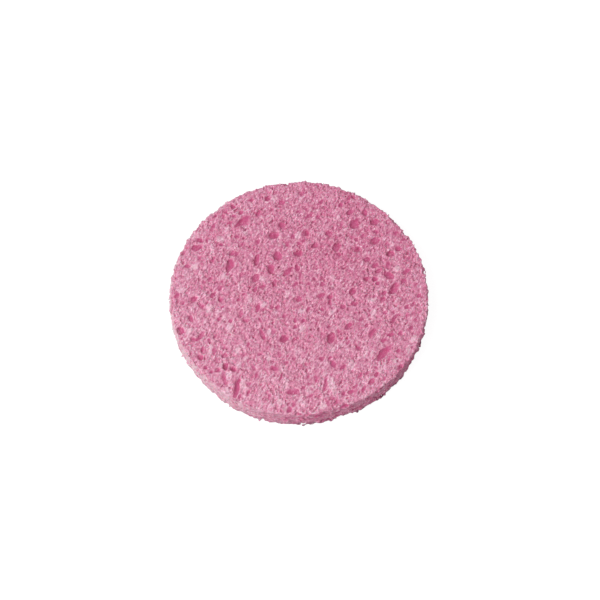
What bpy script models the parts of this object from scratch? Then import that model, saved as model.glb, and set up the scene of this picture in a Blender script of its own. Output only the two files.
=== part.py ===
"""Round cellulose facial sponge: one die-cut disc of open-pored foam, lying flat.

Metres, +Z up. The origin is at the middle of the underside, which is the face it rests on.
The disc has the soft edge that a punch leaves and the larger pores of both faces and of the wall.
"""

import math
import random

import bmesh
import bpy
from mathutils import Matrix, Vector

# The pad, damp and swollen to the size it has in use
PAD_DIAMETER = 0.076
PAD_THICKNESS = 0.008

# The cut edge: the punch rounds it a little, and the foam springs back unevenly round the outline
EDGE_RADIUS = 0.0005
EDGE_STEPS = 2
OUTLINE_POINTS = 96
OUTLINE_WAVE = 0.00013
OUTLINE_WAVE_LOBES = (4, 6, 5)
OUTLINE_WAVE_SHARES = (1.0, 0.75, 0.4)
OUTLINE_WAVE_TURNS = (2.4, 0.2, -1.0)

# The pores: opened bubbles, deeper than a half ball is for its width
LARGEST_PORE_LENGTH = 0.0078
PORE_DEPTH_SHARE = 0.85
PORE_SINK_SHARE = 0.15
PORE_BALL_STEPS = 2

# The upper face's larger pores. Place across and along as shares of the pad's radius, length and
# width as shares of the largest pore's length, and the pore's turn from the X axis in degrees.
UPPER_PORE_SHARES = (
    (-0.470, -0.768, 0.94, 0.23, 77),
    (0.662, -0.487, 0.80, 0.28, 50),
    (0.746, 0.075, 0.54, 0.32, 45),
    (0.263, -0.348, 0.45, 0.31, 58),
    (-0.436, 0.658, 0.63, 0.20, 45),
    (-0.048, -0.817, 0.49, 0.25, 6),
    (-0.536, 0.284, 0.58, 0.21, 76),
    (-0.213, 0.253, 0.43, 0.27, -64),
    (-0.178, 0.542, 0.38, 0.29, 17),
    (0.707, 0.195, 0.45, 0.25, -33),
    (-0.164, 0.365, 0.38, 0.28, 81),
    (-0.109, -0.361, 0.37, 0.29, 27),
    (-0.335, 0.172, 0.41, 0.23, 58),
    (-0.282, -0.323, 0.50, 0.19, -72),
    (-0.081, 0.218, 0.52, 0.18, 45),
    (0.433, 0.631, 0.29, 0.30, 0),
    (-0.328, 0.326, 0.50, 0.17, 85),
    (0.214, -0.750, 0.67, 0.12, 85),
    (0.082, 0.705, 0.45, 0.18, 41),
    (-0.790, 0.426, 0.39, 0.20, 36),
    (0.294, 0.439, 0.41, 0.19, 63),
    (-0.321, -0.094, 0.41, 0.19, 67),
    (-0.450, -0.138, 0.41, 0.19, 70),
    (0.391, -0.240, 0.36, 0.21, 53),
    (-0.564, -0.597, 0.29, 0.25, 63),
    (0.572, -0.310, 0.46, 0.16, 53),
    (-0.915, -0.280, 0.26, 0.27, 0),
    (-0.005, 0.376, 0.29, 0.25, 33),
    (0.423, 0.049, 0.29, 0.25, 33),
    (0.840, 0.226, 0.35, 0.20, 17),
    (0.586, 0.651, 0.33, 0.19, 17),
    (0.177, 0.016, 0.32, 0.20, 43),
    (0.718, 0.376, 0.27, 0.23, 11),
    (-0.672, 0.022, 0.32, 0.19, 81),
    (-0.759, -0.326, 0.31, 0.19, 63),
    (0.520, 0.732, 0.31, 0.19, 81),
    (0.781, 0.419, 0.24, 0.23, 22),
    (0.398, 0.732, 0.25, 0.23, 22),
    (0.620, 0.234, 0.29, 0.19, 27),
    (-0.071, -0.973, 0.29, 0.19, 85),
    (-0.755, -0.067, 0.33, 0.16, -63),
    (0.714, -0.324, 0.27, 0.17, 17),
    (0.572, -0.734, 0.23, 0.19, 81),
)

# The underside's pores are strewn, and leave the middle whole for the face that the pad rests on
LOWER_PORE_COUNT = 24
LOWER_PORE_LENGTH_SHARES = (0.24, 0.55)
LOWER_PORE_WIDTH_SHARES = (0.18, 0.27)
LOWER_REACH_SHARE = 0.93
LOWER_MIDDLE_SHARE = 0.13
LOWER_SPACING_SHARE = 0.16
LOWER_SEED = 41

# The wall's pores, flattened along the rim by the press that dries the sheet
WALL_PORE_COUNT = 14
WALL_PORE_LENGTH_SHARES = (0.22, 0.36)
WALL_PORE_HEIGHT_SHARES = (0.13, 0.18)
WALL_HEIGHT_SHARES = (0.3, 0.7)
WALL_TURN_SHARE = 0.3
WALL_SEED = 7

# The foam's colour, dyed through
FOAM_COLOUR = (0.610, 0.235, 0.352, 1.0)
FOAM_ROUGHNESS = 0.85


def remove_old_objects():
    for old in list(bpy.data.objects):
        bpy.data.objects.remove(old, do_unlink=True)


def outline_stray(angle):
    """How far the outline strays from the true circle at this angle."""
    waves = zip(OUTLINE_WAVE_LOBES, OUTLINE_WAVE_SHARES, OUTLINE_WAVE_TURNS)
    total = sum(share * math.sin(lobes * angle + turn) for lobes, share, turn in waves)
    return OUTLINE_WAVE * total


def punch_disc():
    """The disc before its pores: a circle strayed a little from round, raised and edged."""
    radius = PAD_DIAMETER / 2
    mesh = bmesh.new()
    made = bmesh.ops.create_circle(mesh, cap_ends=True, segments=OUTLINE_POINTS, radius=radius)
    for vert in made["verts"]:
        angle = math.atan2(vert.co.y, vert.co.x)
        vert.co *= (radius + outline_stray(angle)) / radius
    raised = bmesh.ops.extrude_face_region(mesh, geom=list(mesh.faces))
    top = [item for item in raised["geom"] if isinstance(item, bmesh.types.BMVert)]
    bmesh.ops.translate(mesh, verts=top, vec=(0, 0, PAD_THICKNESS))
    bmesh.ops.recalc_face_normals(mesh, faces=list(mesh.faces))
    middle = PAD_THICKNESS / 2
    rims = [edge for edge in mesh.edges if (edge.verts[0].co.z > middle) == (edge.verts[1].co.z > middle)]
    bmesh.ops.bevel(
        mesh, geom=rims, offset=EDGE_RADIUS, segments=EDGE_STEPS, profile=0.5, affect="EDGES", material=-1
    )
    return mesh


def centre_on_box(mesh):
    """Stand the disc with the middle of its box over the origin."""
    for axis in (0, 1):
        reach = [vert.co[axis] for vert in mesh.verts]
        middle = (min(reach) + max(reach)) / 2
        for vert in mesh.verts:
            vert.co[axis] -= middle


def add_pore(mesh, centre, half_sizes, turn):
    """One bubble: a ball drawn out to its half sizes, turned, and set at its centre."""
    place = Matrix.Translation(centre) @ turn @ Matrix.Diagonal((*half_sizes, 1.0))
    bmesh.ops.create_icosphere(mesh, subdivisions=PORE_BALL_STEPS, radius=1.0, matrix=place)


def add_face_pore(mesh, place_shares, length, width, degrees, up):
    """A pore opened by the slice through one face; up is 1 for the upper face and -1 for the underside."""
    depth = width * PORE_DEPTH_SHARE
    face = PAD_THICKNESS if up > 0 else 0
    across, along = (share * PAD_DIAMETER / 2 for share in place_shares)
    centre = Vector((across, along, face - up * depth * PORE_SINK_SHARE))
    turn = Matrix.Rotation(math.radians(degrees), 4, "Z")
    add_pore(mesh, centre, (length / 2, width / 2, depth), turn)


def add_upper_pores(mesh):
    for across, along, length_share, width_share, degrees in UPPER_PORE_SHARES:
        length = length_share * LARGEST_PORE_LENGTH
        width = width_share * LARGEST_PORE_LENGTH
        add_face_pore(mesh, (across, along), length, width, degrees, 1)


def strewn_places(draw):
    """Places on the underside, as shares of the radius, kept apart from each other and off the middle."""
    places = []
    while len(places) < LOWER_PORE_COUNT:
        reach = LOWER_REACH_SHARE * math.sqrt(draw.random())
        angle = draw.uniform(0, math.tau)
        place = Vector((reach * math.cos(angle), reach * math.sin(angle)))
        clear = all((place - other).length > LOWER_SPACING_SHARE for other in places)
        if clear and reach > LOWER_MIDDLE_SHARE:
            places.append(place)
    return places


def add_lower_pores(mesh):
    draw = random.Random(LOWER_SEED)
    for place in strewn_places(draw):
        length = draw.uniform(*LOWER_PORE_LENGTH_SHARES) * LARGEST_PORE_LENGTH
        width = draw.uniform(*LOWER_PORE_WIDTH_SHARES) * LARGEST_PORE_LENGTH
        add_face_pore(mesh, place, length, width, draw.uniform(-90, 90), -1)


def add_wall_pores(mesh):
    draw = random.Random(WALL_SEED)
    for count in range(WALL_PORE_COUNT):
        length = draw.uniform(*WALL_PORE_LENGTH_SHARES) * LARGEST_PORE_LENGTH
        height = draw.uniform(*WALL_PORE_HEIGHT_SHARES) * LARGEST_PORE_LENGTH
        step = count + draw.uniform(-WALL_TURN_SHARE, WALL_TURN_SHARE)
        angle = math.tau * step / WALL_PORE_COUNT
        level = draw.uniform(*WALL_HEIGHT_SHARES) * PAD_THICKNESS
        depth = height * PORE_DEPTH_SHARE
        reach = PAD_DIAMETER / 2 + outline_stray(angle) - depth * PORE_SINK_SHARE
        centre = Vector((reach * math.cos(angle), reach * math.sin(angle), level))
        turn = Matrix.Rotation(angle, 4, "Z")
        add_pore(mesh, centre, (depth, length / 2, height / 2), turn)


def foam_material():
    material = bpy.data.materials.new("pink_cellulose_foam")
    material.use_nodes = True
    shader = material.node_tree.nodes["Principled BSDF"]
    shader.inputs["Base Color"].default_value = FOAM_COLOUR
    shader.inputs["Roughness"].default_value = FOAM_ROUGHNESS
    shader.inputs["Metallic"].default_value = 0.0
    material.diffuse_color = FOAM_COLOUR
    return material


def object_from(mesh, name):
    data = bpy.data.meshes.new(name)
    mesh.to_mesh(data)
    mesh.free()
    made = bpy.data.objects.new(name, data)
    bpy.context.scene.collection.objects.link(made)
    return made


def make_pore_cutter():
    mesh = bmesh.new()
    add_upper_pores(mesh)
    add_lower_pores(mesh)
    add_wall_pores(mesh)
    cutter = object_from(mesh, "pore_cutter")
    cutter.hide_render = True
    cutter.display_type = "WIRE"
    return cutter


def make_sponge_pad():
    disc = punch_disc()
    centre_on_box(disc)
    pad = object_from(disc, "sponge_pad")
    pad.data.materials.append(foam_material())
    pad.data.shade_smooth()
    pad.data.set_sharp_from_angle(angle=math.radians(40))
    pores = pad.modifiers.new("opened_pores", "BOOLEAN")
    pores.operation = "DIFFERENCE"
    pores.solver = "EXACT"
    pores.use_self = True
    pores.object = make_pore_cutter()
    return pad


remove_old_objects()
make_sponge_pad()
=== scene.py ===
import math

import bmesh
import bpy
import numpy as np
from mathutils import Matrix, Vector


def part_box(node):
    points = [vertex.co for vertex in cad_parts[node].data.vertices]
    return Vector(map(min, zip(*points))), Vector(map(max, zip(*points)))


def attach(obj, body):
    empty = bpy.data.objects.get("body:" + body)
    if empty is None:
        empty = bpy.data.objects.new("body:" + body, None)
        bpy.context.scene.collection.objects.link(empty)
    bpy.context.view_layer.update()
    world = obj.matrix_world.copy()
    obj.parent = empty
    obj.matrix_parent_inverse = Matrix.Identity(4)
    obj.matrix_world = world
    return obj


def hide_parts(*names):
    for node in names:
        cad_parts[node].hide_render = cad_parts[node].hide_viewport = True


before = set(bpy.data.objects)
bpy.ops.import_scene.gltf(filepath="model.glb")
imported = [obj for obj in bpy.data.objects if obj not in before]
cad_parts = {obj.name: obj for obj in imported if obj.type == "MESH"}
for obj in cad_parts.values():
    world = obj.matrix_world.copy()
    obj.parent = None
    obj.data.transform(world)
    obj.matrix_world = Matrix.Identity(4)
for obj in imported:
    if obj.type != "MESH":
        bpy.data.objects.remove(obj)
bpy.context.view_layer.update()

import openvdb
from mathutils import Vector

# The sponge pad. The real one is a disc of regenerated-cellulose foam, dyed through, cast as a block and
# punched out of a sheet of it. It is made the same way here: a block is filled with bubbles of every size,
# the disc is cut out of the block, and each bubble that the cut meets is left standing open.
MM = 0.001
pad_low, pad_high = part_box("sponge_pad")
PAD_RADIUS = (pad_high[0] - pad_low[0] + pad_high[1] - pad_low[1]) / 4
PAD_THICKNESS = pad_high[2] - pad_low[2]
EDGE_RADIUS = 0.5 * MM
OUTLINE_WAVE = 0.13 * MM
OUTLINE_WAVE_LOBES = (4, 6, 5)
OUTLINE_WAVE_SHARES = (1.0, 0.75, 0.4)
OUTLINE_WAVE_TURNS = (2.4, 0.2, -1.0)

# The block, kept as distances on a grid: positive outside a surface and negative inside it
VOXEL = 0.2 * MM
SPARE = 2.8 * MM  # of the block round the disc, so that bubbles just outside still open the cut
BAND = 0.5 * MM  # how far from a bubble's wall the distance to it is kept
FAR = 3 * MM  # from any bubble's wall, at every place to begin with
block_low = np.array([-PAD_RADIUS - SPARE, -PAD_RADIUS - SPARE, -SPARE])
block_size = np.array([2 * (PAD_RADIUS + SPARE), 2 * (PAD_RADIUS + SPARE), PAD_THICKNESS + 2 * SPARE])
block_shape = tuple(int(round(length / VOXEL)) + 1 for length in block_size)
grid_lines = [low + VOXEL * np.arange(count) for low, count in zip(block_low, block_shape)]
grid_lines = [line.astype(np.float32) for line in grid_lines]
to_bubble = np.full(block_shape, FAR, np.float32)


def outline(angle):
    """How far the disc reaches at this angle: it strays a little from a true circle."""
    waves = zip(OUTLINE_WAVE_LOBES, OUTLINE_WAVE_SHARES, OUTLINE_WAVE_TURNS)
    stray = sum(share * np.sin(lobes * angle + turn) for lobes, share, turn in waves)
    return PAD_RADIUS + OUTLINE_WAVE * stray


def cut():
    """The distance outside the punched disc, with flat faces and softly rounded rims."""
    x, y, z = np.meshgrid(*grid_lines, indexing="ij", sparse=True)
    beyond = EDGE_RADIUS - (outline(np.arctan2(y, x)) - np.sqrt(x * x + y * y))
    above = np.abs(z - PAD_THICKNESS / 2) - (PAD_THICKNESS / 2 - EDGE_RADIUS)
    corner = np.sqrt(np.maximum(beyond, 0) ** 2 + np.maximum(above, 0) ** 2)
    return (corner + np.minimum(np.maximum(beyond, above), 0) - EDGE_RADIUS).astype(np.float32)


to_cut = cut()

# The foam's unevenness: smooth random fields, which bend every bubble a little out of round
FOAM_SEED = 5
SPLINE_KNOTS = 4  # how many knots a cubic spline leans on at each place
WARP = 0.09 * MM
WARP_SPACING = 0.9 * MM
PORE_WARP = 0.16 * MM  # added to the first for the large pores
PORE_WARP_SPACING = 1.7 * MM
draw = np.random.default_rng(FOAM_SEED)


def raised(length, knots):
    """Rows of cubic spline weights that raise a short line of knots to a long smooth one."""
    at = np.linspace(1, knots - SPLINE_KNOTS + 1, length)
    low = np.floor(at).astype(int)
    t = at - low
    weights = ((1 - t) ** 3, 3 * t**3 - 6 * t**2 + 4, -3 * t**3 + 3 * t**2 + 3 * t + 1, t**3)
    rows = np.zeros((length, knots), np.float32)
    for step, weight in enumerate(weights):
        rows[np.arange(length), low + step - 1] += weight / 6
    return rows


def drift(*spacings):
    """A smooth random field over the block, of unit spread, that changes over about these distances."""
    spans = [int(count * VOXEL / spacing) for count, spacing in zip(block_shape, spacings)]
    knots = [max(span, 1) + SPLINE_KNOTS for span in spans]
    field = draw.standard_normal(knots).astype(np.float32)
    for axis, length in enumerate(block_shape):
        rows = raised(length, field.shape[axis])
        field = np.moveaxis(np.tensordot(rows, field, (1, axis)), 0, axis)
    return field / field.std()


def bends(spacing, most):
    """One field for each axis, by which the bubbles are bent along it."""
    return [drift(spacing, spacing, spacing) * most for axis in range(3)]


warp = bends(WARP_SPACING, WARP)
pore_warp = [small + large for small, large in zip(warp, bends(PORE_WARP_SPACING, PORE_WARP))]

# A bubble: a ball drawn out along one axis, with its wall bent by the foam's unevenness
TINY = 1e-9  # keeps the middle of a bubble from a division by zero


def distance(x, y, z, half, turn):
    """About how far a point, measured from a bubble's middle, is outside the bubble."""
    along = [turn[k][0] * x + turn[k][1] * y + turn[k][2] * z for k in range(3)]
    near = np.sqrt(sum((a / h) ** 2 for a, h in zip(along, half)))
    nearer = np.sqrt(sum((a / h**2) ** 2 for a, h in zip(along, half)))
    return near * (near - 1) / np.maximum(nearer, TINY)


def nearest(places):
    """The voxel nearest to each place, or the block's own nearest one for a place beyond it."""
    index = np.rint((places - block_low) / VOXEL).astype(int)
    return tuple(np.clip(index, 0, np.array(block_shape) - 1).T)


def open_bubble(centre, half, turn):
    """Opens one large bubble in its own corner of the block, bent round a middle that stays in place."""
    reach = max(half) + BAND
    low = np.maximum(np.floor((centre - reach - block_low) / VOXEL).astype(int), 0)
    high = np.minimum(np.ceil((centre + reach - block_low) / VOXEL).astype(int) + 1, block_shape)
    part = tuple(slice(a, b) for a, b in zip(low, high))
    grid = np.meshgrid(*(grid_lines[k][part[k]] - centre[k] for k in range(3)), indexing="ij")
    middle = nearest(centre)
    x, y, z = (a + bend[part] - bend[middle] for a, bend in zip(grid, pore_warp))
    np.minimum(to_bubble[part], distance(x, y, z, half, turn), out=to_bubble[part])


def open_bubbles(centres, halves, turns, band):
    """Opens many small bubbles at once, voxel by voxel round each; no two share their middle voxel."""
    middle = np.rint((centres - block_low) / VOXEL).astype(int)
    reach = int(math.ceil((halves.max() + band) / VOXEL))
    inner = ((middle >= reach) & (middle < np.array(block_shape) - reach)).all(1)
    middle, centres, halves, turns = middle[inner], centres[inner], halves[inner], turns[inner]
    flat = to_bubble.reshape(-1)
    flat_warp = [bend.reshape(-1) for bend in warp]
    stride = np.array([block_shape[1] * block_shape[2], block_shape[2], 1])
    start = middle @ stride
    away = (block_low + VOXEL * middle - centres).astype(np.float32).T
    half = halves.astype(np.float32).T
    turn = turns.astype(np.float32).transpose(1, 2, 0)
    steps = np.arange(-reach, reach + 1)
    for i in steps:
        for j in steps:
            for k in steps:
                at = start + (i * stride[0] + j * stride[1] + k)
                x, y, z = (away[n] + s * VOXEL + flat_warp[n][at] for n, s in enumerate((i, j, k)))
                flat[at] = np.minimum(flat[at], distance(x, y, z, half, turn))


# The upper face's larger pores, as they lie in the photograph. Each row is the pore's place across and along
# as shares of the pad's radius, its length and width as shares of the longest pore's length, its turn from
# the X axis in degrees, and how strongly it shows.
LONGEST_PORE = 7.8 * MM
PORE_DEPTH_SHARE = 0.34  # of its width, for a pore that shows as most do
FAINTEST_DEPTH_SHARE = 0.5  # of that depth, for a pore that hardly shows
PORE_DEEPEST = 1.0 * MM
PORE_SINK_SHARE = 0.08
SIDE_SPREAD = 0.01 * MM  # how far past its noted width each pore opens
END_SPREAD = 3 * SIDE_SPREAD
UPPER_PORE_SHARES = (
    (-0.47, -0.78, 0.98, 0.22, 77, 1.3),
    (0.65, -0.48, 0.90, 0.27, 50, 1.3),
    (0.74, 0.05, 0.54, 0.32, 45, 1.0),
    (0.25, -0.36, 0.50, 0.34, 58, 1.0),
    (-0.45, 0.64, 0.72, 0.26, 45, 1.3),
    (-0.54, 0.26, 0.59, 0.26, 76, 1.2),
    (-0.22, 0.23, 0.43, 0.27, -64, 1.1),
    (-0.05, -0.81, 0.48, 0.25, 6, 0.8),
    (-0.19, 0.52, 0.39, 0.29, 16, 1.0),
    (0.70, 0.17, 0.45, 0.26, -33, 1.3),
    (-0.17, 0.34, 0.38, 0.29, 81, 1.1),
    (-0.11, -0.37, 0.36, 0.28, 27, 1.1),
    (-0.34, 0.15, 0.41, 0.24, 58, 1.2),
    (-0.09, 0.20, 0.52, 0.18, 45, 1.1),
    (-0.28, -0.34, 0.49, 0.19, -72, 1.1),
    (0.43, 0.62, 0.29, 0.31, 0, 1.2),
    (-0.33, 0.31, 0.50, 0.20, 85, 1.3),
    (0.08, 0.69, 0.46, 0.18, 41, 1.0),
    (0.29, 0.42, 0.41, 0.20, 62, 0.9),
    (-0.80, 0.41, 0.39, 0.21, 36, 1.0),
    (-0.32, -0.11, 0.41, 0.19, 67, 1.0),
    (-0.45, -0.16, 0.41, 0.19, 70, 0.9),
    (0.20, -0.75, 0.65, 0.12, 85, 1.1),
    (-0.57, -0.70, 0.77, 0.10, -74, 0.9),
    (0.38, -0.26, 0.36, 0.20, 53, 1.3),
    (-0.01, 0.36, 0.29, 0.25, 33, 1.1),
    (0.56, -0.32, 0.46, 0.16, 53, 1.0),
    (0.42, 0.03, 0.29, 0.25, 33, 1.1),
    (-0.91, -0.30, 0.26, 0.27, 0, 1.2),
    (-0.56, -0.60, 0.29, 0.24, 62, 1.2),
    (0.83, 0.20, 0.35, 0.20, 16, 1.2),
    (0.59, 0.64, 0.34, 0.20, 16, 1.2),
    (0.17, -0.00, 0.32, 0.20, 43, 1.0),
    (0.72, 0.36, 0.28, 0.23, 11, 0.9),
    (0.52, 0.72, 0.32, 0.20, 81, 1.2),
    (-0.67, 0.00, 0.32, 0.19, 81, 1.1),
    (0.40, 0.72, 0.27, 0.24, 22, 1.1),
    (-0.75, -0.34, 0.30, 0.19, 62, 0.9),
    (0.78, 0.40, 0.25, 0.23, 22, 1.0),
    (-0.13, 0.61, 0.27, 0.21, 22, 0.9),
    (0.62, 0.21, 0.29, 0.19, 27, 1.0),
    (-0.32, 0.71, 0.31, 0.18, 62, 1.1),
    (-0.50, -0.63, 0.26, 0.21, -22, 0.8),
    (0.05, 0.55, 0.28, 0.19, 76, 0.9),
    (0.75, -0.18, 0.40, 0.13, 22, 0.8),
    (-0.07, -0.96, 0.28, 0.18, 85, 1.3),
    (-0.01, 0.23, 0.27, 0.19, 81, 0.9),
    (0.12, 0.43, 0.33, 0.16, 55, 1.1),
    (-0.76, -0.09, 0.33, 0.16, -62, 0.8),
    (0.26, -0.58, 0.28, 0.13, -67, 0.9),
    (-0.20, -0.30, 0.37, 0.13, 85, 0.8),
    (-0.00, -0.03, 0.24, 0.20, 43, 1.1),
    (0.59, 0.26, 0.31, 0.15, 22, 1.0),
    (0.69, 0.26, 0.31, 0.15, 79, 1.0),
    (0.53, 0.31, 0.22, 0.21, 22, 0.9),
    (0.34, -0.10, 0.21, 0.22, 0, 1.0),
    (-0.25, 0.85, 0.25, 0.18, 72, 0.8),
    (-0.14, 0.81, 0.23, 0.19, 11, 1.1),
    (-0.68, 0.59, 0.37, 0.12, 62, 0.9),
    (0.70, -0.34, 0.26, 0.16, 16, 1.2),
    (0.46, 0.40, 0.30, 0.22, 33, 1.2),
    (-0.11, -0.18, 0.26, 0.16, -62, 0.8),
    (-0.75, -0.53, 0.21, 0.21, 0, 1.0),
    (-0.81, -0.38, 0.24, 0.17, 62, 0.8),
    (0.33, -0.61, 0.22, 0.15, 48, 0.9),
    (0.55, -0.73, 0.22, 0.19, 81, 1.1),
    (0.34, 0.63, 0.41, 0.10, 67, 0.9),
    (0.59, 0.14, 0.20, 0.21, 0, 1.0),
    (-0.47, -0.04, 0.26, 0.16, 48, 1.0),
    (0.50, 0.51, 0.23, 0.18, 62, 0.7),
    (-0.83, -0.20, 0.27, 0.15, 76, 1.1),
    (-0.58, -0.44, 0.22, 0.18, 62, 0.7),
    (-0.18, -0.62, 0.23, 0.17, -38, 1.0),
    (0.22, -0.90, 0.37, 0.10, -81, 1.0),
    (-0.52, 0.77, 0.25, 0.20, 62, 1.2),
    (-0.65, -0.48, 0.33, 0.11, 81, 0.9),
    (0.43, -0.07, 0.21, 0.17, 33, 1.0),
    (0.59, 0.47, 0.40, 0.30, 22, 0.7),
    (-0.87, 0.25, 0.19, 0.19, 0, 1.0),
    (-0.35, -0.61, 0.37, 0.10, -72, 0.8),
    (0.17, 0.81, 0.29, 0.12, 43, 1.2),
    (0.24, -0.02, 0.19, 0.19, 0, 1.1),
    (0.59, -0.67, 0.23, 0.15, 43, 0.8),
    (0.47, -0.67, 0.25, 0.14, 48, 0.8),
    (0.39, -0.81, 0.21, 0.17, 62, 1.0),
    (-0.55, 0.63, 0.27, 0.13, 22, 1.1),
    (0.78, -0.32, 0.23, 0.15, 72, 1.0),
    (0.13, -0.71, 0.33, 0.10, -85, 1.1),
    (0.45, -0.45, 0.21, 0.16, 11, 1.0),
    (-0.78, 0.32, 0.29, 0.12, -72, 0.8),
    (0.28, -0.90, 0.28, 0.12, 67, 1.0),
    (0.69, 0.44, 0.18, 0.19, 0, 0.6),
    (0.86, -0.28, 0.25, 0.13, 72, 1.2),
    (0.93, -0.00, 0.25, 0.13, 64, 1.0),
    (0.31, 0.35, 0.20, 0.16, 33, 0.7),
    (0.76, -0.47, 0.22, 0.14, 72, 1.0),
    (-0.38, 0.83, 0.21, 0.15, 0, 1.0),
    (-0.13, -0.68, 0.28, 0.11, 72, 0.9),
    (-0.03, 0.09, 0.32, 0.10, 53, 0.9),
    (0.60, 0.55, 0.27, 0.12, 0, 1.2),
    (0.49, -0.78, 0.28, 0.11, 72, 1.2),
    (0.43, -0.77, 0.25, 0.13, 38, 1.2),
    (-0.33, 0.46, 0.23, 0.14, 62, 0.9),
    (0.52, 0.14, 0.21, 0.15, 0, 1.1),
    (0.12, -0.14, 0.27, 0.11, 76, 0.8),
    (-0.30, -0.21, 0.26, 0.12, -58, 0.8),
    (-0.46, 0.72, 0.18, 0.16, 43, 1.0),
    (-0.26, -0.62, 0.32, 0.09, -62, 0.6),
    (-0.05, 0.51, 0.25, 0.12, 76, 0.8),
    (-0.79, 0.48, 0.23, 0.13, 22, 0.9),
    (-0.09, 0.45, 0.17, 0.17, 0, 1.0),
    (0.00, 0.45, 0.17, 0.17, 0, 1.0),
    (-0.45, 0.18, 0.25, 0.12, 72, 0.8),
    (-0.61, -0.04, 0.17, 0.17, 0, 0.9),
    (-0.53, 0.36, 0.21, 0.14, 62, 1.0),
    (0.02, 0.89, 0.20, 0.14, 62, 0.8),
    (-0.91, -0.37, 0.23, 0.12, 0, 1.1),
    (0.33, 0.79, 0.20, 0.14, 62, 1.1),
    (-0.32, -0.67, 0.28, 0.10, 72, 1.1),
    (-0.74, -0.46, 0.20, 0.13, 72, 1.1),
    (-0.39, -0.42, 0.22, 0.11, 72, 0.9),
    (0.38, -0.40, 0.23, 0.11, 81, 1.0),
    (-0.61, 0.44, 0.17, 0.15, 22, 0.9),
    (-0.00, 0.73, 0.19, 0.12, 76, 0.7),
    (-0.63, -0.56, 0.23, 0.11, -76, 0.8),
    (-0.38, -0.82, 0.24, 0.10, 81, 0.9),
    (0.03, -0.22, 0.20, 0.12, 62, 1.0),
    (-0.42, -0.50, 0.20, 0.11, 72, 0.8),
    (-0.22, 0.75, 0.15, 0.15, 0, 0.9),
    (0.23, -0.27, 0.18, 0.13, 33, 0.7),
    (0.66, 0.02, 0.20, 0.12, 62, 1.0),
    (-0.04, -0.38, 0.19, 0.12, 72, 1.0),
    (0.88, -0.08, 0.19, 0.12, 48, 1.0),
    (-0.61, -0.20, 0.18, 0.12, 62, 0.8),
    (0.47, -0.20, 0.15, 0.15, 0, 0.7),
    (0.90, -0.22, 0.18, 0.12, 62, 1.0),
    (-0.76, 0.07, 0.21, 0.10, -72, 1.0),
    (-0.51, 0.69, 0.15, 0.13, 0, 1.0),
    (0.52, -0.26, 0.20, 0.10, 43, 0.9),
    (-0.68, 0.29, 0.14, 0.13, 0, 0.8),
    (0.12, 0.14, 0.14, 0.14, 0, 0.8),
    (-0.15, -0.48, 0.17, 0.11, 72, 0.8),
    (-0.21, -0.10, 0.13, 0.15, 0, 0.9),
    (0.18, -0.12, 0.14, 0.13, 0, 1.0),
    (0.89, -0.16, 0.15, 0.12, 22, 0.6),
    (-0.22, -0.84, 0.19, 0.10, 72, 0.9),
    (0.29, 0.49, 0.15, 0.12, 62, 1.0),
    (0.50, 0.20, 0.14, 0.13, 0, 0.8),
    (0.61, 0.10, 0.15, 0.12, 62, 0.9),
    (-0.60, 0.11, 0.14, 0.12, 62, 0.9),
    (-0.30, -0.50, 0.13, 0.12, 0, 1.0),
    (0.50, 0.46, 0.12, 0.13, 0, 0.8),
    (-0.53, -0.22, 0.12, 0.12, 0, 1.1),
    (0.45, 0.48, 0.11, 0.13, 0, 1.0),
    (-0.74, 0.11, 0.13, 0.10, 0, 0.9),
    (0.17, -0.54, 0.11, 0.12, 0, 0.9),
    (-0.58, 0.73, 0.17, 0.12, 20, 0.8),
    (-0.60, 0.69, 0.14, 0.12, 0, 0.8),
    (-0.66, 0.69, 0.14, 0.12, 60, 0.8),
    (-0.49, 0.51, 0.16, 0.12, 30, 0.8),
    (-0.44, 0.45, 0.20, 0.12, 20, 0.7),
    (-0.49, 0.35, 0.16, 0.12, 60, 0.8),
    (-0.66, 0.32, 0.10, 0.09, 70, 0.9),
    (-0.90, 0.37, 0.15, 0.12, 60, 0.8),
    (-0.17, 0.74, 0.16, 0.10, 60, 0.9),
    (0.05, 0.76, 0.20, 0.09, 75, 0.8),
    (0.15, 0.68, 0.20, 0.14, 30, 0.8),
    (0.24, 0.54, 0.30, 0.20, 20, 0.8),
    (0.03, 0.47, 0.16, 0.09, 60, 0.8),
    (0.39, 0.85, 0.20, 0.14, 20, 0.8),
    (0.43, 0.86, 0.15, 0.12, 0, 0.8),
    (0.46, 0.66, 0.14, 0.10, 60, 0.8),
    (0.70, 0.56, 0.30, 0.16, 80, 0.7),
    (0.76, 0.54, 0.25, 0.10, 70, 0.9),
    (0.41, 0.50, 0.17, 0.12, 30, 0.9),
    (0.51, 0.42, 0.16, 0.14, 30, 0.8),
    (0.82, 0.48, 0.25, 0.16, 30, 0.8),
    (0.86, 0.32, 0.14, 0.10, 30, 1.0),
    (-0.56, 0.18, 0.16, 0.10, 60, 0.8),
    (-0.62, 0.06, 0.20, 0.12, 70, 1.0),
    (-0.81, -0.03, 0.30, 0.20, 40, 0.9),
    (-0.69, 0.14, 0.20, 0.14, 70, 0.8),
    (-0.43, 0.01, 0.14, 0.10, 30, 0.8),
    (-0.59, -0.10, 0.16, 0.10, 0, 1.0),
    (-0.69, -0.38, 0.14, 0.12, 60, 1.0),
    (-0.78, -0.38, 0.18, 0.12, 30, 1.1),
    (-0.41, -0.22, 0.30, 0.14, 10, 0.9),
    (-0.94, 0.00, 0.30, 0.15, 80, 0.8),
    (-0.65, 0.08, 0.14, 0.10, 30, 0.8),
    (-0.90, -0.06, 0.14, 0.10, 60, 0.8),
    (-0.19, 0.11, 0.40, 0.15, 80, 0.9),
    (0.01, 0.17, 0.30, 0.12, 80, 0.9),
    (0.08, 0.10, 0.18, 0.12, 60, 0.9),
    (0.18, 0.09, 0.20, 0.14, 60, 0.9),
    (0.15, 0.09, 0.14, 0.10, 60, 0.7),
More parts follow.
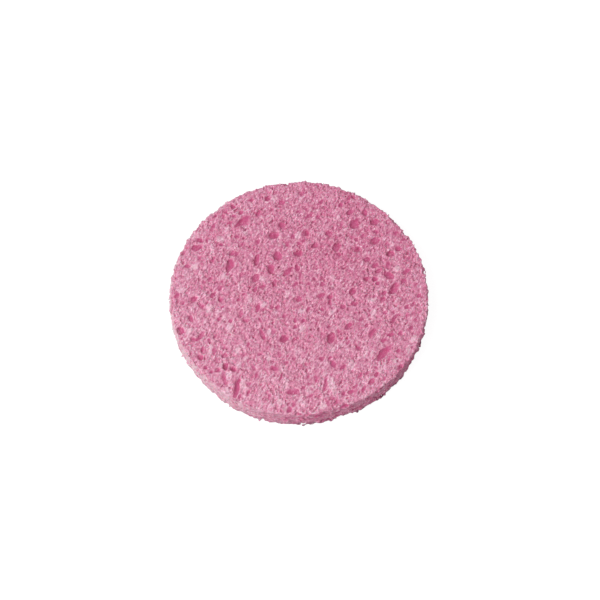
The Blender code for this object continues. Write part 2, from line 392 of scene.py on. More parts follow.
    (-0.16, -0.10, 0.18, 0.14, 30, 0.9),
    (0.07, -0.12, 0.20, 0.14, 60, 0.9),
    (0.24, -0.06, 0.20, 0.14, 80, 0.9),
    (0.26, -0.11, 0.14, 0.10, 60, 0.8),
    (0.17, 0.15, 0.14, 0.10, 60, 0.9),
    (-0.03, -0.21, 0.20, 0.14, 80, 0.9),
    (-0.03, -0.27, 0.18, 0.14, 60, 0.8),
    (0.17, -0.33, 0.16, 0.12, 60, 0.8),
    (0.31, -0.31, 0.16, 0.12, 60, 0.8),
    (-0.28, -0.13, 0.20, 0.14, 30, 0.8),
    (-0.34, 0.05, 0.25, 0.18, 80, 1.1),
    (-0.29, 0.07, 0.20, 0.16, 30, 0.8),
    (0.81, 0.12, 0.20, 0.14, 30, 1.1),
    (0.52, -0.01, 0.18, 0.10, 70, 1.0),
    (0.72, -0.23, 0.25, 0.16, 50, 1.1),
    (0.83, -0.10, 0.16, 0.12, 60, 1.0),
    (0.83, -0.17, 0.25, 0.12, 80, 1.0),
    (0.66, -0.15, 0.18, 0.14, 30, 0.9),
    (0.65, -0.04, 0.30, 0.18, 60, 0.8),
    (0.65, -0.38, 0.25, 0.14, 40, 1.2),
    (0.73, -0.15, 0.18, 0.12, 60, 0.8),
    (0.94, -0.14, 0.20, 0.12, 40, 1.0),
    (0.54, -0.17, 0.14, 0.10, 60, 0.8),
    (0.48, -0.21, 0.14, 0.10, 0, 0.8),
    (0.90, 0.09, 0.15, 0.12, 60, 0.8),
    (-0.71, -0.61, 0.16, 0.14, 60, 1.1),
    (-0.67, -0.65, 0.18, 0.14, 30, 1.0),
    (-0.62, -0.63, 0.16, 0.12, 30, 0.9),
    (-0.39, -0.56, 0.16, 0.10, 80, 1.0),
    (-0.38, -0.75, 0.20, 0.14, 50, 0.9),
    (-0.45, -0.85, 0.20, 0.12, 70, 1.1),
    (-0.53, -0.90, 0.20, 0.16, 20, 1.1),
    (-0.42, -0.95, 0.20, 0.16, 20, 1.0),
    (-0.38, -0.94, 0.20, 0.07, 0, 1.0),
    (-0.72, -0.48, 0.20, 0.10, 60, 0.9),
    (-0.86, -0.53, 0.16, 0.12, 70, 0.8),
    (-0.57, -0.51, 0.30, 0.20, 30, 0.9),
    (-0.43, -0.59, 0.14, 0.09, 70, 0.9),
    (0.24, -0.53, 0.18, 0.12, 30, 0.9),
    (-0.04, -0.54, 0.20, 0.14, 60, 1.0),
    (-0.10, -0.57, 0.20, 0.14, 50, 1.0),
    (-0.21, -0.61, 0.16, 0.10, 60, 0.9),
    (-0.15, -0.51, 0.14, 0.10, 30, 1.0),
    (0.03, -0.78, 0.20, 0.12, 30, 1.0),
    (0.01, -0.59, 0.14, 0.10, 60, 0.8),
    (-0.04, -0.92, 0.20, 0.12, 60, 0.8),
    (0.25, -0.67, 0.14, 0.10, 30, 0.9),
    (0.07, -0.75, 0.20, 0.10, 70, 0.9),
    (0.07, -0.68, 0.14, 0.10, 60, 0.8),
    (-0.09, -0.51, 0.12, 0.10, 60, 0.9),
    (-0.24, -0.81, 0.20, 0.10, 30, 0.7),
    (0.25, -0.86, 0.20, 0.14, 60, 0.8),
    (0.09, -0.84, 0.20, 0.14, 50, 0.8),
    (0.52, -0.66, 0.18, 0.10, 60, 1.0),
    (0.59, -0.61, 0.14, 0.10, 60, 0.9),
    (0.77, -0.61, 0.30, 0.16, 50, 1.0),
    (0.69, -0.53, 0.16, 0.12, 30, 0.9),
    (0.65, -0.70, 0.18, 0.10, 60, 0.9),
    (0.34, -0.82, 0.20, 0.14, 80, 0.9),
    (0.43, -0.80, 0.14, 0.10, 30, 0.8),
)


def face_pore(place_shares, length, width, degrees, strength, face, up):
    """Opens a large pore in one face; up is 1 for the upper face and -1 for the underside."""
    depth = min(width * PORE_DEPTH_SHARE, PORE_DEEPEST)
    depth *= FAINTEST_DEPTH_SHARE + (1 - FAINTEST_DEPTH_SHARE) * strength
    across, along = (share * PAD_RADIUS for share in place_shares)
    centre = np.array((across, along, face - up * width * PORE_SINK_SHARE))
    c, s = math.cos(math.radians(degrees)), math.sin(math.radians(degrees))
    half = (length / 2 + END_SPREAD, width / 2 + SIDE_SPREAD, depth)
    open_bubble(centre, half, ((c, s, 0), (-s, c, 0), (0, 0, 1)))


for across, along, length_share, width_share, degrees, strength in UPPER_PORE_SHARES:
    length, width = length_share * LONGEST_PORE, width_share * LONGEST_PORE
    face_pore((across, along), length, width, degrees, strength, PAD_THICKNESS, 1)

# The underside's larger pores, which no photograph shows, are strewn
LOWER_PORES = 150
LOWER_REACH_SHARE = 0.97
LOWER_SHORTEST_SHARE = 0.16
LOWER_LONGER_SHARE = 0.5
LOWER_RARITY = 3  # the higher, the fewer of them are long
LOWER_WIDTH_SHARES = (0.4, 0.9)  # of the pore's own length
LOWER_WIDEST_SHARE = 0.3
for _ in range(LOWER_PORES):
    reach, angle = math.sqrt(draw.random()) * LOWER_REACH_SHARE, draw.uniform(0, math.tau)
    length = LONGEST_PORE * (LOWER_SHORTEST_SHARE + LOWER_LONGER_SHARE * draw.random() ** LOWER_RARITY)
    width = min(length * draw.uniform(*LOWER_WIDTH_SHARES), LOWER_WIDEST_SHARE * LONGEST_PORE)
    place_shares = (reach * math.cos(angle), reach * math.sin(angle))
    face_pore(place_shares, length, width, draw.uniform(-90, 90), 1, 0, -1)

# The dents of the upper face, shallow hollows where a thin wall of foam closes over a bubble. Their paleness
# is a painted highlight, where the lamp catches their slopes. The rows are as for the pores, and the dents'
# lengths and widths are shares of the longest pore's length too.
DENT_SPREAD = 0.1 * MM
DENT_RISE = 1.3  # the higher, the more abruptly a dent begins
PORE_EDGE = 0.15 * MM  # how far the painted shade of a pore spreads past it
PORE_RISE = 2.2
UPPER_DENT_SHARES = (
    (-0.62, 0.48, 0.30, 0.24, 60, 1.2),
    (-0.42, 0.54, 0.30, 0.20, 60, 0.8),
    (-0.68, 0.37, 0.30, 0.16, 80, 0.7),
    (-0.55, 0.51, 0.25, 0.16, 60, 0.6),
    (-0.57, 0.57, 0.25, 0.16, 60, 0.7),
    (0.01, 0.84, 0.30, 0.20, 70, 1.0),
    (-0.01, 0.52, 0.40, 0.25, 70, 1.1),
    (0.25, 0.48, 0.25, 0.20, 40, 1.0),
    (-0.19, 0.85, 0.40, 0.20, 60, 0.8),
    (-0.24, 0.65, 0.40, 0.20, 40, 0.5),
    (0.17, 0.53, 0.30, 0.12, 70, 0.6),
    (0.07, 0.45, 0.20, 0.14, 60, 0.6),
    (0.55, 0.72, 0.30, 0.16, 70, 0.6),
    (0.72, 0.43, 0.25, 0.16, 60, 0.8),
    (0.67, 0.49, 0.30, 0.14, 70, 0.6),
    (0.35, 0.56, 0.30, 0.20, 50, 0.6),
    (0.43, 0.56, 0.30, 0.16, 60, 0.5),
    (-0.82, 0.24, 0.40, 0.30, 40, 1.1),
    (-0.92, 0.04, 0.30, 0.20, 60, 1.0),
    (-0.69, -0.11, 0.40, 0.30, 60, 1.1),
    (-0.85, -0.30, 0.30, 0.20, 60, 0.9),
    (-0.54, -0.27, 0.40, 0.25, 60, 0.7),
    (-0.63, -0.15, 0.30, 0.14, 70, 0.6),
    (-0.38, -0.03, 0.50, 0.20, 85, 0.7),
    (-0.58, 0.17, 0.40, 0.20, 85, 0.6),
    (-0.28, 0.14, 0.35, 0.28, 40, 1.1),
    (-0.09, 0.01, 0.35, 0.20, 80, 1.2),
    (0.02, -0.14, 0.35, 0.25, 80, 1.1),
    (0.03, -0.28, 0.35, 0.25, 60, 1.2),
    (-0.27, -0.08, 0.30, 0.18, 80, 0.8),
    (0.26, 0.14, 0.35, 0.25, 60, 0.7),
    (0.26, -0.14, 0.40, 0.30, 60, 0.6),
    (0.07, -0.02, 0.30, 0.20, 70, 0.6),
    (-0.18, -0.15, 0.25, 0.18, 30, 0.6),
    (-0.23, -0.33, 0.40, 0.20, 80, 0.6),
    (0.56, -0.04, 0.35, 0.25, 30, 0.7),
    (0.57, -0.15, 0.35, 0.16, 70, 1.0),
    (0.77, -0.04, 0.35, 0.25, 60, 0.7),
    (0.46, -0.37, 0.30, 0.15, 60, 0.7),
    (0.88, -0.37, 0.40, 0.15, 60, 0.8),
    (0.76, 0.23, 0.40, 0.20, 60, 0.6),
    (-0.54, -0.67, 0.35, 0.25, 60, 0.9),
    (-0.42, -0.76, 0.60, 0.18, 80, 0.8),
    (-0.55, -0.82, 0.50, 0.20, 85, 0.7),
    (-0.68, -0.46, 0.40, 0.16, 75, 0.9),
    (-0.47, -0.47, 0.50, 0.20, 85, 0.6),
    (-0.45, -0.90, 0.25, 0.14, 30, 0.8),
    (-0.46, -0.60, 0.35, 0.25, 60, 0.7),
    (-0.23, -0.54, 0.30, 0.20, 60, 1.0),
    (-0.10, -0.75, 0.45, 0.20, 80, 1.0),
    (0.26, -0.76, 0.66, 0.32, -85, 1.4),
    (0.20, -0.66, 0.25, 0.18, 70, 1.1),
    (0.03, -0.91, 0.35, 0.20, 70, 1.0),
    (0.18, -0.92, 0.40, 0.30, 30, 0.9),
    (-0.15, -0.89, 0.40, 0.20, 75, 0.8),
    (0.26, -0.46, 0.30, 0.20, 30, 0.9),
    (-0.14, -0.61, 0.40, 0.16, 60, 0.7),
    (0.52, -0.49, 0.45, 0.14, 80, 0.9),
    (0.40, -0.59, 0.30, 0.20, 60, 0.7),
    (0.56, -0.49, 0.25, 0.16, 60, 0.7),
    (0.74, -0.55, 0.25, 0.16, 40, 0.7),
    (0.65, -0.74, 0.30, 0.14, 60, 0.7),
    (0.84, -0.46, 0.40, 0.16, 70, 0.7),
    (0.61, -0.64, 0.30, 0.14, 60, 0.7),
)


def spots(rows, spread, rise):
    """How strongly the strongest of the listed spots shows at each place in the upper face: 0 outside all."""
    top = nearest((0, 0, PAD_THICKNESS))[2]
    x = grid_lines[0][:, None] + pore_warp[0][:, :, top]
    y = grid_lines[1][None, :] + pore_warp[1][:, :, top]
    most = np.zeros(x.shape, np.float32)
    for across, along, length, width, degrees, strength in rows:
        c, s = math.cos(math.radians(degrees)), math.sin(math.radians(degrees))
        middle = nearest((across * PAD_RADIUS, along * PAD_RADIUS, PAD_THICKNESS))[:2]
        east, north = x - x[middle], y - y[middle]
        ahead = (c * east + s * north) / (length * LONGEST_PORE / 2 + spread)
        aside = (c * north - s * east) / (width * LONGEST_PORE / 2 + spread)
        most = np.maximum(most, strength * np.clip(rise * (1 - ahead**2 - aside**2), 0, 1))
    return most[:, :, None] * (grid_lines[2] > PAD_THICKNESS / 2)


dents = spots(UPPER_DENT_SHARES, DENT_SPREAD, DENT_RISE)
# where the painted shade of the upper face's pores lies
pore_shade_spots = spots(UPPER_PORE_SHARES, PORE_EDGE, PORE_RISE)

# The fine foam: small bubbles all along the cut, drawn out along the sheet's grain, and flattened in the wall
GRAIN_HEADING = math.radians(62)
GRAIN_SPREAD = math.radians(32)
TILT_SPREAD = 0.3  # radians up or down
WALL_SHARE = 0.3  # of the bubbles that the faces have
DENT_CLEAR = 0.25  # a dent that shows more than this stays free of them
OUTSIDE_SHARE = 0.75  # of its size that a bubble's middle may lie outside the cut
NARROWEST_SHARES = (1.1, 0.55, 0.6)  # of its size: a bubble's half length, half width and half height
WIDEST_SHARES = (1.8, 0.9, 0.95)
WALL_STRETCH = (1.2, 0.9, 0.7)  # in the wall they are longer and flatter by this much
TRIES = 14  # places drawn for each bubble wanted
CELL_SHARE = 1.2  # of the largest size in its class, across the cell that each bubble has to itself


def headed(headings, tilts):
    """A turn for each bubble: its long axis at this heading from X, then tipped up by this much."""
    ca, sa, co, so = np.cos(headings), np.sin(headings), np.cos(tilts), np.sin(tilts)
    flat = np.zeros(len(headings))
    rows = ((ca * co, sa * co, so), (-sa, ca, flat), (-ca * so, -sa * so, co))
    return np.stack([np.stack(row, 1) for row in rows], 1)


def past_rim(points):
    """How far each point is out past the outline."""
    return np.hypot(points[:, 0], points[:, 1]) - outline(np.arctan2(points[:, 1], points[:, 0]))


def past_face(points):
    """How far each point is above the upper face or under the underside."""
    return np.abs(points[:, 2] - PAD_THICKNESS / 2) - PAD_THICKNESS / 2


def fill(wanted, rounds, span, room_share, deep_share, upper_share=1):
    """Opens bubbles of one class along the cut, each where enough of the foam is still whole.

    Their sizes lie in the span. The room that a bubble needs, and how deep under the cut its middle may
    lie, are shares of its size. The upper share is how many the upper face has of those drawn for it.
    """
    largest = max(span)
    for _ in range(rounds):
        places = block_low + draw.random((wanted * TRIES // rounds, 3)) * block_size
        sizes = draw.uniform(*span, len(places))
        voxels = nearest(places)
        fits = (to_cut[voxels] > -deep_share * sizes) & (to_cut[voxels] < OUTSIDE_SHARE * sizes)
        fits &= to_bubble[voxels] > room_share * sizes
        on_wall = past_rim(places) > past_face(places)
        on_upper = ~on_wall & (places[:, 2] > PAD_THICKNESS / 2)
        share = np.where(on_wall, WALL_SHARE, np.where(on_upper, upper_share, 1))
        fits &= draw.random(len(places)) < share
        fits &= ~(on_upper & (dents[voxels] > DENT_CLEAR))
        places, sizes, on_wall = places[fits], sizes[fits], on_wall[fits]
        cells = np.floor(places / (CELL_SHARE * largest)).astype(int)
        first = np.unique(cells, axis=0, return_index=True)[1]
        places, sizes, on_wall = places[first], sizes[first], on_wall[first]
        shapes = draw.uniform(NARROWEST_SHARES, WIDEST_SHARES, (len(places), 3))
        shapes[on_wall] *= WALL_STRETCH
        grain = draw.normal(GRAIN_HEADING, GRAIN_SPREAD, len(places))
        along_rim = np.arctan2(places[:, 1], places[:, 0]) + math.pi / 2
        headings = np.where(on_wall, along_rim, grain)
        tilts = np.where(on_wall, 0, draw.normal(0, TILT_SPREAD, len(places)))
        open_bubbles(places, sizes[:, None] * shapes, headed(headings, tilts), room_share * largest)


# The largest class keeps to the wall and the underside, and has the lip and the painted shade of a pore
fill(wanted=1500, rounds=2, span=(0.62 * MM, 0.90 * MM), room_share=0.9, deep_share=0.6, upper_share=0)
to_pore = to_bubble.copy()
fill(wanted=60000, rounds=4, span=(0.42 * MM, 0.62 * MM), room_share=0.5, deep_share=0)
fill(wanted=160000, rounds=5, span=(0.28 * MM, 0.40 * MM), room_share=0.35, deep_share=0.35)
fill(wanted=400000, rounds=4, span=(0.19 * MM, 0.27 * MM), room_share=0.3, deep_share=0.5)

# The cut itself: dented, lipped round the pores, gritty all over, and torn along the rims and in the wall,
# where the punch drags layers of foam out of the sheet
DENT_DEPTH = 0.16 * MM
LIP_SOFTNESS = 0.45 * MM
RIM_WIDTH = 1.2 * MM  # in from the outline, where the tears and the coarser grit begin
RIM_FADE = 0.6 * MM  # over which they come to full strength
GRIT_SPACING = 0.5 * MM
GRIT = 0.05 * MM
RIM_GRIT = 0.09 * MM
TEAR_SPACINGS = (1.4 * MM, 1.4 * MM, 1.0 * MM)
TEAR = 0.14 * MM
TEAR_FADE = 2 * MM  # of height, over which the tears weaken
TEAR_FOOT_SHARE = 1.5  # of a full tear, at the foot, and held to 1 wherever it comes to more
TEAR_TOP_SHARE = 0.3  # of a full tear, toward the upper face
FINE_LAYER_SPACINGS = (1.2 * MM, 1.2 * MM, 0.45 * MM)
FINE_LAYER = 0.08 * MM
WIDE_LAYER_SPACINGS = (3 * MM, 3 * MM, 0.45 * MM)
WIDE_LAYER = 0.05 * MM


def softly_cut(solid_side, hole, softness):
    """The distance outside a solid once a hole is taken out of it, with the lip rounded over."""
    lean = np.clip(0.5 + 0.5 * (-hole - solid_side) / softness, 0, 1)
    return -hole * lean + solid_side * (1 - lean) + softness * lean * (1 - lean)


smooth_depth = -to_cut
x, y, z = np.meshgrid(*grid_lines, indexing="ij", sparse=True)
near_rim = np.clip((np.sqrt(x * x + y * y) - PAD_RADIUS + RIM_WIDTH) / RIM_FADE, 0, 1)
near_foot = np.clip(TEAR_FOOT_SHARE - z / TEAR_FADE, TEAR_TOP_SHARE, 1)
to_cut = softly_cut(to_cut + DENT_DEPTH * dents, to_pore, LIP_SOFTNESS)
to_cut += drift(GRIT_SPACING, GRIT_SPACING, GRIT_SPACING) * (GRIT + RIM_GRIT * near_rim)
to_cut += drift(*TEAR_SPACINGS) * near_rim * near_foot * TEAR
to_cut += drift(*FINE_LAYER_SPACINGS) * FINE_LAYER + drift(*WIDE_LAYER_SPACINGS) * WIDE_LAYER

# The foam that is left: only what hangs together, with no hollow that doesn't open to the air
BUBBLE_SOFTNESS = 0.15 * MM  # how far the lip of a bubble is rounded over
CLEAR_OF_CUT = 0.5 * MM  # what is this far outside the cut is open air
SKIN_DEPTH = 2.0 * MM  # what is this deep under it is part of the pad's whole middle


def reached(start, allowed):
    """The part of allowed that start leads to without leaving it."""
    reach = start & allowed
    while True:
        wider = reach.copy()
        for axis in range(3):
            ahead = [slice(None)] * 3
            behind = [slice(None)] * 3
            ahead[axis], behind[axis] = slice(1, None), slice(None, -1)
            wider[tuple(ahead)] |= reach[tuple(behind)]
            wider[tuple(behind)] |= reach[tuple(ahead)]
        wider &= allowed
        if np.array_equal(wider, reach):
            return reach
        reach = wider


foam = softly_cut(to_cut, to_bubble, BUBBLE_SOFTNESS)
foam = np.maximum(foam, -z)  # pressed flat where it rests on the floor
air = reached(to_cut > CLEAR_OF_CUT, foam > 0)
foam[(foam > 0) & ~air] = -VOXEL / 2
whole = reached(to_cut < -SKIN_DEPTH, foam <= 0)
foam[(foam <= 0) & ~whole] = VOXEL / 2

# Its surface, drawn where the distance is zero
volume = openvdb.FloatGrid(BAND)
volume.copyFromArray(np.clip(foam, -BAND, BAND))
points, _, faces = volume.convertToPolygons(isovalue=0.0, adaptivity=0.0)
points = (block_low + VOXEL * points).astype(np.float32)
faces = faces[:, ::-1]  # so that they face outwards
sponge = bpy.data.objects.new("sponge_foam", bpy.data.meshes.new("sponge_foam"))
bpy.context.scene.collection.objects.link(sponge)
sponge.data.vertices.add(len(points))
sponge.data.vertices.foreach_set("co", points.ravel())
sponge.data.loops.add(faces.size)
sponge.data.loops.foreach_set("vertex_index", faces.astype(np.int32).ravel())
sponge.data.polygons.add(len(faces))
sponge.data.polygons.foreach_set("loop_start", np.arange(0, faces.size, 4, dtype=np.int32))
sponge.data.update(calc_edges=True)
sponge.data.shade_smooth()

# What the material reads at each point of the surface: how closed in it is, whether it is in a large pore or
# in a pale dent, how deep it lies under the cut, in millimetres, and whether it is on the wall
CLOSE_REACH = 2  # voxels each way, over which the foam round a point is weighed
PORE_FADE = 0.25 * MM  # how far a strewn pore's reading spreads past it
WALL_FADE = 1 * MM  # across the rim, from a face's reading to the wall's


def blurred(field, reach):
    """The mean of a field over a box that reaches this many voxels each way."""
    width = 2 * reach + 1
    for axis in range(3):
        length = field.shape[axis]
        first, last = (np.take(field, [end], axis) for end in (0, -1))
        padded = np.concatenate([first] * (reach + 1) + [field] + [last] * reach, axis)
        total = np.cumsum(padded, axis, dtype=np.float64)
        ahead = np.take(total, np.arange(width, width + length), axis)
        field = (ahead - np.take(total, np.arange(length), axis)) / width
    return field.astype(np.float32)


def read(field):
    """A field's value at each point of the surface, between its voxels."""
    at = (points - block_low) / VOXEL
    low = np.clip(np.floor(at).astype(int), 0, np.array(field.shape) - 2)
    part = at - low
    value = 0
    for step in np.ndindex(2, 2, 2):
        weight = np.abs(1 - np.array(step) - part).prod(1)
        corner = low + step
        value = value + weight * field[corner[:, 0], corner[:, 1], corner[:, 2]]
    return value.astype(np.float32)


on_upper = PAD_RADIUS - np.hypot(points[:, 0], points[:, 1]) > PAD_THICKNESS - points[:, 2]
on_upper &= points[:, 2] > PAD_THICKNESS / 2
strewn_pore = read(1 - np.clip(to_pore / PORE_FADE, 0, 1))
readings = {
    "close": read(blurred(np.clip(0.5 - foam / VOXEL, 0, 1), CLOSE_REACH)),
    "pore": np.where(on_upper, read(pore_shade_spots), strewn_pore),
    "dent": read(dents),
    "depth": read(smooth_depth) / MM,
    "wall": np.clip(0.5 + (past_rim(points) - past_face(points)) / WALL_FADE, 0, 1).astype(np.float32),
}
for name, values in readings.items():
    sponge.data.attributes.new(name, "FLOAT", "POINT").data.foreach_set("value", values)

# The texture map: both faces laid out flat side by side, and the wall unrolled in two rows above them. The
# shares are of the map's width or height.
FACE_SPAN = 2.04 * PAD_RADIUS  # across the square that each face is laid out on
FACE_CHART_SHARES = (0.49, 0.79)
FACE_MIDDLE_SHARES = (0.25, 0.75)  # of the upper face and of the underside, across the map
FACE_HEIGHT_SHARE = 0.4
WALL_CHART_SHARES = (0.97, 0.085)
WALL_HEIGHT_SHARES = (0.85, 0.95)  # of the front half and of the back half, up the map
MAP_MARGIN_SHARE = 0.001
corners = points[faces]
middles = corners.mean(1)
side = (np.hypot(middles[:, 0], middles[:, 1]) - PAD_RADIUS > past_face(middles))[:, None]
upper = (middles[:, 2] > PAD_THICKNESS / 2)[:, None]
front = (middles[:, 1] < 0)[:, None]
facing = np.where(front, 1, -1)
turned = np.arctan2(corners[:, :, 1] * facing, corners[:, :, 0] * facing) + math.pi / 2
face_u = np.where(upper, *FACE_MIDDLE_SHARES) + corners[:, :, 0] / FACE_SPAN * FACE_CHART_SHARES[0]
face_v = FACE_HEIGHT_SHARE + corners[:, :, 1] / FACE_SPAN * FACE_CHART_SHARES[1]
wall_u = 0.5 + turned / math.pi * WALL_CHART_SHARES[0]
level = corners[:, :, 2] / PAD_THICKNESS - 0.5
wall_v = np.where(front, *WALL_HEIGHT_SHARES) + level * WALL_CHART_SHARES[1]
uv = np.stack([np.where(side, wall_u, face_u), np.where(side, wall_v, face_v)], -1)
uv = np.clip(uv, MAP_MARGIN_SHARE, 1 - MAP_MARGIN_SHARE).astype(np.float32)
sponge.data.uv_layers.new(name="OFBake").data.foreach_set("uv", uv.ravel())
sponge.data.validate()

# The foam's finish: matt, a little fuzzy, and lit through where it is thin. The functions that follow add
# nodes to whichever material or world is being made, which nodes and links belong to.
FOAM_ROUGHNESS = 0.85
FOAM_SHINE = 0.25
FUZZ = 0.12
FUZZ_ROUGHNESS = 0.5
GLOW_THROUGH = 0.35
GLOW_COLOUR = (1.0, 0.4, 0.6)
GLOW_REACH = 0.7 * MM
material = bpy.data.materials.new("pink_cellulose_foam")
material.use_nodes = True
nodes, links = material.node_tree.nodes, material.node_tree.links
shader = nodes["Principled BSDF"]
shader.inputs["Roughness"].default_value = FOAM_ROUGHNESS
shader.inputs["Specular IOR Level"].default_value = FOAM_SHINE
shader.inputs["Sheen Weight"].default_value = FUZZ
shader.inputs["Sheen Roughness"].default_value = FUZZ_ROUGHNESS
shader.inputs["Subsurface Weight"].default_value = GLOW_THROUGH
shader.inputs["Subsurface Radius"].default_value = GLOW_COLOUR
shader.inputs["Subsurface Scale"].default_value = GLOW_REACH


def reads(name):
    """One of the surface's readings."""
    node = nodes.new("ShaderNodeAttribute")
    node.attribute_name = name
    return node.outputs["Fac"]


def worked_out(operation, first, second):
    """A sum on two values, each a number or another node's output."""
    node = nodes.new("ShaderNodeMath")
    node.operation = operation
    for socket, value in zip(node.inputs, (first, second)):
        if isinstance(value, (int, float)):
            socket.default_value = value
        else:
            links.new(value, socket)
    return node.outputs[0]


def plus(first, second):
    """The two values added."""
    return worked_out("ADD", first, second)


def times(first, second):
    """The two values multiplied."""
    return worked_out("MULTIPLY", first, second)


def mapped(value, span, ends=(0, 1)):
    """A value that lies in this span, moved to the same place between the two ends and held there."""
    node = nodes.new("ShaderNodeMapRange")
    links.new(value, node.inputs["Value"])
    for name, number in zip(("From Min", "From Max", "To Min", "To Max"), (*span, *ends)):
        node.inputs[name].default_value = number
    return node.outputs["Result"]


def stretched(where, turn=0, scale=(1, 1, 1)):
    """Places turned about Z and then scaled, so that a pattern on them is drawn out."""
    for name, numbers in (("Rotation", (0, 0, turn)), ("Scale", scale)):
        node = nodes.new("ShaderNodeMapping")
        node.inputs[name].default_value = numbers
        links.new(where, node.inputs["Vector"])
        where = node.outputs["Vector"]
    return where


def noise(where, spacing, detail, roughness=0.6):
    """A cloudy pattern whose spots are about this far apart."""
    node = nodes.new("ShaderNodeTexNoise")
    links.new(where, node.inputs["Vector"])
    node.inputs["Scale"].default_value = 1 / spacing
    node.inputs["Detail"].default_value = detail
    node.inputs["Roughness"].default_value = roughness
    return node.outputs["Fac"]


# How deep the pink looks. It is deeper where the foam is closed in or sunk and inside the pores, which is
# painted shade, and deeper on the wall.
# It is paler on the dents and along the lip of the rim, which is painted highlight. It is deeper far from the
# lamp and paler toward it, which is painted shade and light. It is more or less in patches and flecks that
# follow the grain.
WHOLE = (0, 1)
NOISE_SPAN = (0.3, 0.7)  # where most of a noise's values lie
GRAIN_STRETCH = (0.5, 1, 1)  # under 1 draws a pattern out along that axis, and over 1 presses it together
LAYER_STRETCH = (1, 1, 7)
BASE_TONE = 0.27
CLOSE_SPAN = (0.32, 0.68)
CLOSED_IN_SHADE_TONE = 0.25
SUNK_SPAN = (0.3, 0.7)  # millimetres under the cut
SUNK_SHADE_TONE = 0.3
PORE_SPAN = (0.05, 0.25)  # millimetres under the cut, over which a pore's painted shade comes to its full depth
PORE_LIP_SHARE = 0.5
PORE_SHADE_TONE = 0.5
WALL_TONE = 0.22
DENT_HIDDEN_SPAN = (0, 0.7)  # how strong a pore is where it begins to hide a dent, and where it hides it
DENT_HIGHLIGHT_TONE = -0.42
# A painted highlight along the lip of the rim, where the light catches its edge
RIM_PLACE = 0.45  # on the wall's reading, which goes from 0 on the faces to 1 on the wall
RIM_REACH = 0.3
RIM_HIGHLIGHT_TONE = -0.12
PATCH_SPACING = 2.6 * MM
PATCH_SPAN = (0.36, 0.64)
PATCH_TONE = 0.1
FLECK_SPACING = 1.1 * MM
FLECK_TONE = 0.19
LAYER_SPACING = 3 * MM
LAYER_TONE = 0.3
PAINTED_SHADE_PLACE = (0.3 * PAD_RADIUS, 0.45 * PAD_RADIUS, PAD_THICKNESS)  # where the painted shade is deepest, on the far side from the lamp
PAINTED_SHADE_REACH = 1.4 * PAD_RADIUS
PAINTED_SHADE_TONES = (0.13, -0.14)  # there, and as far from it as it reaches
place = nodes.new("ShaderNodeTexCoord").outputs["Object"]
grained = stretched(place, turn=-GRAIN_HEADING, scale=GRAIN_STRETCH)
layered = stretched(place, scale=LAYER_STRETCH)
wall, depth = reads("wall"), reads("depth")
# painted shade inside the pores, standing in for their shadow and for the light that reddens as it bounces
# inside them
painted_pore_shade = times(reads("pore"), mapped(depth, PORE_SPAN, (PORE_LIP_SHARE, 1)))
# painted highlight: the dents paler, where the lamp catches their slopes, except where a pore hides them
dent_highlight = times(reads("dent"), mapped(painted_pore_shade, DENT_HIDDEN_SPAN, (1, 0)))
# painted highlight: the tone paler along the lip of the rim
rim_highlight = mapped(worked_out("ABSOLUTE", plus(wall, -RIM_PLACE), 0), (0, RIM_REACH), (1, 0))
patch = mapped(noise(grained, PATCH_SPACING, detail=2), PATCH_SPAN)
fleck = noise(grained, FLECK_SPACING, detail=2)
layer = noise(layered, LAYER_SPACING, detail=3, roughness=0.5)
# painted shade and light: the pad painted deeper toward the far side from the lamp and paler toward the
# lamp's side
from_painted_shade = nodes.new("ShaderNodeVectorMath")
from_painted_shade.operation = "DISTANCE"
from_painted_shade.inputs[1].default_value = PAINTED_SHADE_PLACE
links.new(place, from_painted_shade.inputs[0])
# painted shade: the pink deeper where the foam round a point is closed in and where it lies sunk under the
# cut, where shade falls
tone = plus(times(mapped(reads("close"), CLOSE_SPAN), CLOSED_IN_SHADE_TONE), BASE_TONE)
tone = plus(tone, times(mapped(depth, SUNK_SPAN), SUNK_SHADE_TONE))
tone = plus(tone, times(painted_pore_shade, PORE_SHADE_TONE))
tone = plus(tone, times(wall, WALL_TONE))
tone = plus(tone, times(dent_highlight, DENT_HIGHLIGHT_TONE))
tone = plus(tone, mapped(patch, WHOLE, (-PATCH_TONE, PATCH_TONE)))
tone = plus(tone, mapped(from_painted_shade.outputs["Value"], (0, PAINTED_SHADE_REACH), PAINTED_SHADE_TONES))
tone = plus(tone, mapped(fleck, NOISE_SPAN, (-FLECK_TONE, FLECK_TONE)))
tone = plus(tone, times(rim_highlight, RIM_HIGHLIGHT_TONE))
tone = plus(tone, times(mapped(layer, NOISE_SPAN, (-LAYER_TONE, LAYER_TONE)), wall))

# The colours of the pink, from the palest tone to the deepest, with dark flecks and pale fibres over them, a
# painted sheen on the wall toward its left end, the side that the lamp lights, and painted shade at its foot
PINK_TONE_STOPS = (
    (0.0, (0.80, 0.46, 0.57)),
    (0.25, (0.69, 0.27, 0.405)),
    (0.55, (0.655, 0.20, 0.34)),
    (0.9, (0.54, 0.098, 0.23)),
)
DARK_FLECK = (0.63, 0.46, 0.53)
PALE_FIBRE = (0.93, 0.58, 0.71)
# the pale of the painted sheen on the lit left end of the wall
PAINTED_WALL_SHEEN = (0.75, 0.57, 0.61)
